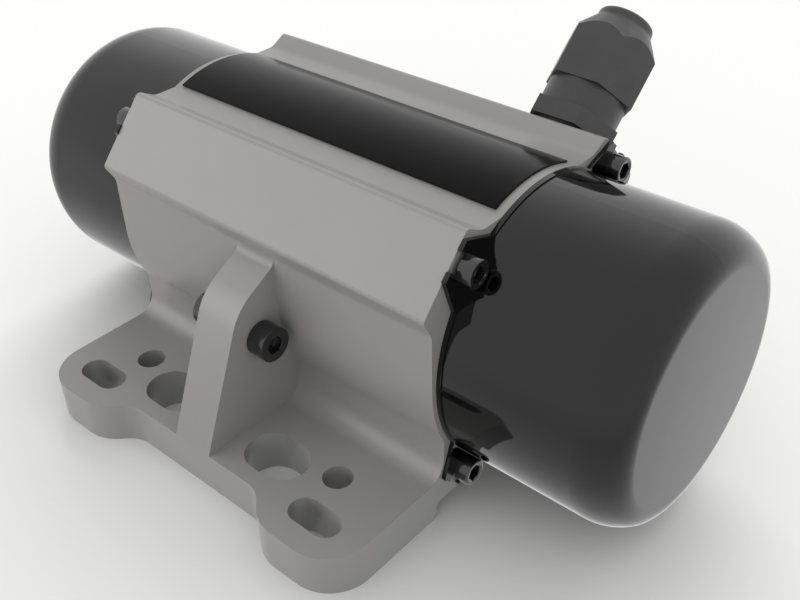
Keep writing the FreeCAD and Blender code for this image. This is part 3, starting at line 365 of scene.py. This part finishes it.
def stacked_sheets(name, colour):
    """Half-millimetre steel sheets stacked along the shaft."""
    finish = Finish(name, colour, 0.4, metallic=0.8)
    finish.tones(finish.stripes(SHEET_THICKNESS), 0.3, SHEET_GAP_REACH)
    finish.gloss(finish.noise(0.0015, 3), 0.08)
    finish.bump(finish.stripes(SHEET_THICKNESS), 0.00004)
    return finish.material


def copper_wires(name, colour):
    """Varnished copper wires that run round the end turns and along the slots."""
    finish = Finish(name, colour, 0.26, metallic=0.9, Coat_Weight=0.4, Coat_Roughness=0.15)
    finish.tones(finish.noise(0.002, 4), 0.25)
    finish.gloss(finish.noise(0.001, 3), 0.06)
    finish.bump(finish.stripes(WIRE_PITCH, wobble=1.5), 0.0001)
    return finish.material


def raw_casting(name, colour):
    """Die-cast aluminium as it leaves the mould."""
    finish = Finish(name, colour, 0.42, metallic=0.85)
    finish.tones(finish.noise(0.004, 5), 0.12)
    finish.gloss(finish.noise(0.0015, 4), 0.1)
    finish.bump(finish.noise(0.0006, 4), 0.00003)
    return finish.material


# Building blocks for pieces

def scene_settings(name):
    return getattr(bpy.context.scene, name)


def material_of(name):
    return bpy.data.materials[name]


def new_piece(name, mesh, material=None):
    """An object at the origin that shows one mesh in one material."""
    piece = bpy.data.objects.new(name, mesh)
    bpy.context.scene.collection.objects.link(piece)
    if material is not None:
        mesh.materials.clear()
        mesh.materials.append(material)
    return piece


def applied(piece):
    """Turns a piece's modifiers into its mesh and removes them."""
    bpy.context.view_layer.update()
    graph = bpy.context.evaluated_depsgraph_get()
    mesh = bpy.data.meshes.new_from_object(
        piece.evaluated_get(graph), preserve_all_data_layers=True, depsgraph=graph)
    mesh.name = piece.name
    piece.modifiers.clear()
    piece.data = mesh
    return piece


def welded_copy(node):
    """A closed copy of a CAD node's loose triangles, with flat areas joined into whole faces."""
    shape = bmesh.new()
    shape.from_mesh(frame["nodes"][node].data)
    bmesh.ops.remove_doubles(shape, verts=shape.verts, dist=WELD)
    bmesh.ops.dissolve_limit(shape, angle_limit=FLAT_ANGLE, verts=shape.verts, edges=shape.edges)
    mesh = bpy.data.meshes.new(node)
    shape.to_mesh(mesh)
    shape.free()
    if "custom_normal" in mesh.attributes:
        mesh.attributes.remove(mesh.attributes["custom_normal"])
    mesh.shade_smooth()
    return mesh


def rounded_piece(node, name, material, edge_round):
    """A piece that stands for a CAD node, with its sharp edges softly rounded."""
    piece = new_piece(name, welded_copy(node), material)
    bevel = piece.modifiers.new("Edges", "BEVEL")
    bevel.width = edge_round
    bevel.segments = EDGE_SEGMENTS
    bevel.limit_method = "ANGLE"
    bevel.angle_limit = SHARP_EDGE
    bevel.harden_normals = True
    bevel.use_clamp_overlap = True
    applied(piece)
    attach(piece, frame["nodes"][node]["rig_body"])
    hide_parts(node)
    return piece


def lofted(name, rings, sides=48):
    """A closed body about X from rings of (place, radius, share of a six-sided form)."""
    points = [(rings[0][0], 0, 0)]
    for place, radius, six in rings:
        for step in range(sides):
            turn = math.tau * step / sides
            flat = math.cos(math.pi / 6) / math.cos(turn % (math.pi / 3) - math.pi / 6)
            reach = radius * (1 - six + six * flat)
            points.append((place, reach * math.cos(turn), reach * math.sin(turn)))
    points.append((rings[-1][0], 0, 0))
    faces = []
    last = len(points) - 1
    for step in range(sides):
        after = (step + 1) % sides
        faces.append((0, 1 + step, 1 + after))
        for ring in range(len(rings) - 1):
            low = 1 + ring * sides
            faces.append((low + step, low + sides + step, low + sides + after, low + after))
        top = 1 + (len(rings) - 1) * sides
        faces.append((top + step, last, top + after))
    mesh = bpy.data.meshes.new(name)
    mesh.from_pydata(points, [], faces)
    shape = bmesh.new()
    shape.from_mesh(mesh)
    bmesh.ops.recalc_face_normals(shape, faces=shape.faces)
    shape.to_mesh(mesh)
    shape.free()
    mesh.shade_smooth()
    mesh.set_sharp_from_angle(angle=SHARP_LOFT)
    return mesh


def socket_screw(name, settings, length):
    """A socket-head screw along X whose head sits on the plane x = 0."""
    head, rim, shank = settings.head_radius, settings.rim_round, settings.shank_radius
    top, corner = settings.head_height, settings.socket / math.sqrt(3)
    chamfer, bevel = shank * TIP_CHAMFER, corner * SOCKET_BEVEL
    rings = [(-length, shank - chamfer, 0), (chamfer - length, shank, 0), (0, shank, 0), (0, head, 0)]
    for share in RIM_STEPS:
        angle = share * math.pi / 2
        rings.append((top - rim + rim * math.sin(angle), head - rim + rim * math.cos(angle), 0))
    rings.append((top, corner + bevel, 0))
    rings.append((top - bevel, corner, 1))
    rings.append((top - settings.socket_depth, corner, 1))
    rings.append((top - settings.socket_depth - corner * DRILL_POINT, corner * DRILL_TIP, 0))
    return lofted(name, rings)


def ring_tree():
    """Geometry nodes that set one body round the X axis, each turned about itself by chance."""
    tree = bpy.data.node_groups.new("ring_of_bodies", "GeometryNodeTree")
    for name, kind in RING_INPUTS.items():
        tree.interface.new_socket(name, in_out="INPUT", socket_type=kind)
    tree.interface.new_socket("Geometry", in_out="OUTPUT", socket_type="NodeSocketGeometry")

    def node(kind, **values):
        made = tree.nodes.new(kind)
        for key, value in values.items():
            made.inputs[key].default_value = value
        return made

    def link(start, out, stop, into):
        tree.links.new(start.outputs[out], stop.inputs[into])

    start = node("NodeGroupInput")
    ring = node("GeometryNodeMeshCircle")
    link(start, "Count", ring, "Vertices")
    link(start, "Circle radius", ring, "Radius")
    upright = node("GeometryNodeTransform", Rotation=(0, math.pi / 2, 0))
    link(ring, "Mesh", upright, "Geometry")
    body = node("GeometryNodeObjectInfo")
    link(start, "Body", body, "Object")
    chance = node("FunctionNodeRandomValue")
    chance.data_type = "FLOAT_VECTOR"
    chance.inputs["Max"].default_value = (math.pi / 3, 0, 0)
    link(start, "Seed", chance, "Seed")
    copies = node("GeometryNodeInstanceOnPoints")
    link(upright, "Geometry", copies, "Points")
    link(body, "Geometry", copies, "Instance")
    link(chance, "Value", copies, "Rotation")
    eighth = node("GeometryNodeTransform", Rotation=(math.pi / 4, 0, 0))
    link(copies, "Instances", eighth, "Geometry")
    link(start, "Place", eighth, "Translation")
    turned = node("GeometryNodeTransform")
    link(eighth, "Geometry", turned, "Geometry")
    link(start, "Turn", turned, "Rotation")
    solid = node("GeometryNodeRealizeInstances")
    link(turned, "Geometry", solid, "Geometry")
    dressed = node("GeometryNodeSetMaterial")
    link(solid, "Geometry", dressed, "Geometry")
    link(start, "Material", dressed, "Material")
    finish = node("NodeGroupOutput")
    link(dressed, "Geometry", finish, "Geometry")
    return tree


def ring_piece(name, tree, values):
    """One plain piece from the ring tree, with the tree's inputs set by name."""
    piece = new_piece(name, bpy.data.meshes.new(name))
    made = piece.modifiers.new("Ring", "NODES")
    made.node_group = tree
    for item in tree.interface.items_tree:
        if item.in_out == "INPUT":
            made[item.identifier] = values[item.name]
    return applied(piece)


def coat(nodes, material):
    """Gives CAD nodes a finish in place of their plain one."""
    for node in nodes:
        piece = frame["nodes"][node]
        for place in piece.material_slots:
            place.material = material


def at_both_ends(name):
    return [f"{name}_{end}" for end in ENDS]


# Building blocks for the stage

def add_floor(colour):
    """A wide flat pale floor that keeps the shadow and stays out of the pieces' gloss."""
    corners = [(FLOOR_REACH * x, FLOOR_REACH * y, 0) for x, y in ((-1, -1), (1, -1), (1, 1), (-1, 1))]
    mesh = bpy.data.meshes.new("floor")
    mesh.from_pydata(corners, [], [(0, 1, 2, 3)])
    finish = Finish("floor_white", colour, 0.7, Specular_IOR_Level=0.0)
    finish.tones(finish.noise(0.3, 2), 0.004)
    floor = new_piece("floor", mesh, finish.material)
    floor.visible_glossy = False


def add_world(strength):
    """A white sky that is brighter behind the object and greyer below the horizon."""
    world = bpy.data.worlds.new("soft_sky")
    world.use_nodes = True
    tree = world.node_tree

    def node(kind, **values):
        made = tree.nodes.new(kind)
        for key, value in values.items():
            setattr(made, key, value)
        return made

    def faded(factor, low, high, reach):
        ramp = node("ShaderNodeMapRange", interpolation_type="SMOOTHSTEP")
        ramp.inputs["From Min"].default_value, ramp.inputs["From Max"].default_value = reach
        mix = node("ShaderNodeMix")
        for place, value in (("A", low), ("B", high)):
            if isinstance(value, float):
                mix.inputs[place].default_value = value
            else:
                tree.links.new(value, mix.inputs[place])
        tree.links.new(factor, ramp.inputs["Value"])
        tree.links.new(ramp.outputs["Result"], mix.inputs["Factor"])
        return mix.outputs["Result"]

    way = node("ShaderNodeTexCoord").outputs["Generated"]
    parts = node("ShaderNodeSeparateXYZ")
    tree.links.new(way, parts.inputs["Vector"])
    behind = node("ShaderNodeVectorMath", operation="DOT_PRODUCT")
    behind.inputs[1].default_value = BEHIND
    tree.links.new(way, behind.inputs[0])
    front = faded(parts.outputs["Z"], SKY_BELOW * strength, SKY_AHEAD * strength, SKY_RISE)
    light = faded(behind.outputs["Value"], front, SKY_BEHIND * strength, BEHIND_FADE)
    tree.links.new(light, tree.nodes["Background"].inputs["Strength"])
    tree.nodes["Background"].inputs["Color"].default_value = (1, 1, 1, 1)
    bpy.context.scene.world = world


def add_lamp(name, source, strength, pieces, colour=(1, 1, 1), sheen_only=False):
    """A soft distant lamp that lights the named pieces alone; source points from the object to it."""
    light = bpy.data.lights.new(name, "SUN")
    light.energy = strength
    light.angle = LAMP_SPREAD
    light.color = colour
    lamp = bpy.data.objects.new(name, light)
    lamp.rotation_euler = (-Vector(source)).to_track_quat("-Z", "Y").to_euler()
    lamp.visible_diffuse = not sheen_only
    bpy.context.scene.collection.objects.link(lamp)
    lit = bpy.data.collections.new(f"lit_by_{name}")
    for piece in pieces:
        lit.objects.link(bpy.data.objects[piece])
    lamp.light_linking.receiver_collection = lit


def add_camera(settings):
    data = bpy.data.cameras.new("photo_camera")
    data.sensor_width = SENSOR_WIDTH
    data.lens = settings.focal_pixels / PHOTO_WIDTH * SENSOR_WIDTH
    data.clip_start = 0.01
    camera = bpy.data.objects.new("photo_camera", data)
    place = Vector(settings.camera_place)
    look = (Vector(settings.camera_aim) - place).to_track_quat("-Z", "Y").to_matrix()
    turn = Matrix.Rotation(settings.camera_roll, 3, "Z")
    camera.matrix_world = Matrix.Translation(place) @ (look @ turn).to_4x4()
    bpy.context.scene.collection.objects.link(camera)
    bpy.context.scene.camera = camera


# Operators, one for each piece or group of like pieces

class MOTOR_OT_housing(bpy.types.Operator):
    """Rounds the casting's edges and gives it its grey powder coat"""
    bl_idname = "motor.housing"
    bl_label = "Housing"

    def execute(self, context):
        settings = scene_settings("motor_housing")
        finish = powder_coat("powder_coat", settings.colour, settings.grain_size)
        rounded_piece("housing", "housing_casting", finish, settings.edge_round)
        return {"FINISHED"}


class MOTOR_OT_nameplate(bpy.types.Operator):
    """Finishes the bare black plate on the crown"""
    bl_idname = "motor.nameplate"
    bl_label = "Bare plate"

    def execute(self, context):
        settings = scene_settings("motor_plate")
        finish = plate_film("plate_film", settings.colour)
        rounded_piece("nameplate", "crown_plate", finish, settings.edge_round)
        return {"FINISHED"}


class MOTOR_OT_end_caps(bpy.types.Operator):
    """Gives the end caps their gloss black coat"""
    bl_idname = "motor.end_caps"
    bl_label = "End caps"

    def execute(self, context):
        settings = scene_settings("motor_cap")
        finish = gloss_coat("gloss_coat", settings.colour)
        coat(at_both_ends("end_cap"), finish)
        return {"FINISHED"}


class MOTOR_OT_cap_screws(bpy.types.Operator):
    """Sets socket-head screws round each end cap"""
    bl_idname = "motor.cap_screws"
    bl_label = "Cap screws"

    def execute(self, context):
        settings = scene_settings("motor_screw")
        finish = black_oxide("black_oxide", settings.colour)
        tip, top = sorted(abs(corner[0]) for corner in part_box("cap_screws_right"))
        side = max(corner[1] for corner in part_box("cap_screws_right")) - settings.head_radius
        seat = top - settings.head_height
        screw = bpy.data.objects.new("screw_form", socket_screw("screw_form", settings, seat - tip))
        tree = ring_tree()
        for end, way in ENDS.items():
            node = f"cap_screws_{end}"
            piece = ring_piece(f"socket_screws_{end}", tree, {
                "Body": screw,
                "Count": settings.count,
                "Circle radius": math.hypot(side, side),
                "Place": (seat, 0, SHAFT_HEIGHT),
                "Turn": (0, 0, 0 if way > 0 else math.pi),
                "Seed": settings.seed,
                "Material": finish,
            })
            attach(piece, frame["nodes"][node]["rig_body"])
            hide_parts(node)
        bpy.data.objects.remove(screw)
        return {"FINISHED"}


class MOTOR_OT_earth_screws(bpy.types.Operator):
    """Finishes the two screws on the rib and the washers of the rear one"""
    bl_idname = "motor.earth_screws"
    bl_label = "Earth screws"

    def execute(self, context):
        settings = scene_settings("motor_screw")
        for end in ENDS:
            rounded_piece(f"earth_screw_{end}", f"rib_screw_{end}", material_of("black_oxide"),
                          settings.rim_round)
        coat(["earth_flat_washer"], zinc_plate("zinc_plate", (0.52, 0.52, 0.5)))
        coat(["earth_spring_washer"], material_of("black_oxide"))
        return {"FINISHED"}


class MOTOR_OT_cable_gland(bpy.types.Operator):
    """Rounds and finishes the cable gland's body and nut, and its rubber parts"""
    bl_idname = "motor.cable_gland"
    bl_label = "Cable gland"

    def execute(self, context):
        settings = scene_settings("motor_gland")
        finish = moulded_plastic("moulded_plastic", settings.colour)
        for node, name in (("gland_body", "gland_hex_body"), ("gland_nut", "gland_dome_nut")):
            rounded_piece(node, name, finish, settings.edge_round)
        coat(["gland_gasket", "gland_seal"], soft_rubber("black_rubber", (0.02, 0.02, 0.02)))
        return {"FINISHED"}


class MOTOR_OT_inner_parts(bpy.types.Operator):
    """Finishes the parts inside: shaft, bearings, weights, windings, cores and seals"""
    bl_idname = "motor.inner_parts"
    bl_label = "Inner parts"

    def execute(self, context):
        turned = turned_steel("turned_steel", (0.52, 0.52, 0.53))
        ground = ground_steel("ground_steel", (0.66, 0.66, 0.68))
        sheets = stacked_sheets("stacked_sheets", (0.26, 0.26, 0.28))
        coat(["shaft"], turned)
        for name in ("fixed_weight", "adjustable_weight", "weight_spacer", "weight_key"):
            coat(at_both_ends(name), turned)
        for name in ("bearing_outer_ring", "bearing_inner_ring", "bearing_balls"):
            coat(at_both_ends(name), ground)
        coat(at_both_ends("bearing_cage"), zinc_plate("pressed_steel", (0.6, 0.59, 0.56)))
        coat(at_both_ends("bearing_shield"), raw_casting("raw_casting", (0.6, 0.6, 0.61)))
        coat(["rotor_cage"], material_of("raw_casting"))
        coat(["stator_core", "rotor_core"], sheets)
        coat(["stator_winding"], copper_wires("copper_wires", (0.62, 0.25, 0.11)))
        coat(at_both_ends("cap_seal"), soft_rubber("orange_rubber", (0.5, 0.14, 0.03)))
        for name in ("bearing_clip", "shaft_clip", "clamp_screw"):
            coat(at_both_ends(name), material_of("black_oxide"))
        return {"FINISHED"}


class MOTOR_OT_stage(bpy.types.Operator):
    """Sets the pale floor, the soft light and the camera"""
    bl_idname = "motor.stage"
    bl_label = "Stage"

    def execute(self, context):
        settings = scene_settings("motor_stage")
        add_floor(settings.floor_colour)
        add_world(settings.sky_light)
        add_lamp("back_lamp", BACK_SOURCE, settings.back_light, ["floor"])
        add_lamp("side_lamp", SIDE_SOURCE, settings.side_light, ["housing_casting"], SIDE_COLOUR)
        add_lamp("side_sheen", SIDE_SOURCE, settings.side_sheen, ["housing_casting"], sheen_only=True)
        add_camera(settings)
        context.scene.view_settings.view_transform = "Standard"
        return {"FINISHED"}


OPERATORS = (
    MOTOR_OT_housing, MOTOR_OT_nameplate, MOTOR_OT_end_caps, MOTOR_OT_cap_screws, MOTOR_OT_earth_screws,
    MOTOR_OT_cable_gland, MOTOR_OT_inner_parts, MOTOR_OT_stage,
)
SETTINGS = {
    "motor_housing": MotorHousingSettings,
    "motor_cap": MotorCapSettings,
    "motor_screw": MotorScrewSettings,
    "motor_gland": MotorGlandSettings,
    "motor_plate": MotorPlateSettings,
    "motor_stage": MotorStageSettings,
}


class MOTOR_PT_panel(bpy.types.Panel):
    """Lists the pieces' operators and their settings"""
    bl_idname = "MOTOR_PT_panel"
    bl_label = "Vibration motor"
    bl_space_type = "VIEW_3D"
    bl_region_type = "UI"
    bl_category = "Motor"

    def draw(self, context):
        for operator in OPERATORS:
            self.layout.operator(operator.bl_idname)
        for name, group in SETTINGS.items():
            box = self.layout.box()
            for prop in group.__annotations__:
                box.prop(getattr(context.scene, name), prop)


def register():
    for group in SETTINGS.values():
        bpy.utils.register_class(group)
    for name, group in SETTINGS.items():
        setattr(bpy.types.Scene, name, PointerProperty(type=group))
    for made in (*OPERATORS, MOTOR_PT_panel):
        bpy.utils.register_class(made)


def unregister():
    for made in reversed((*OPERATORS, MOTOR_PT_panel)):
        bpy.utils.unregister_class(made)
    for name, group in SETTINGS.items():
        delattr(bpy.types.Scene, name)
        bpy.utils.unregister_class(group)


def main():
    register()
    bpy.ops.motor.housing()
    bpy.ops.motor.nameplate()
    bpy.ops.motor.end_caps()
    bpy.ops.motor.cap_screws()
    bpy.ops.motor.earth_screws()
    bpy.ops.motor.cable_gland()
    bpy.ops.motor.inner_parts()
    bpy.ops.motor.stage()


if __name__ == "__main__":
    main()
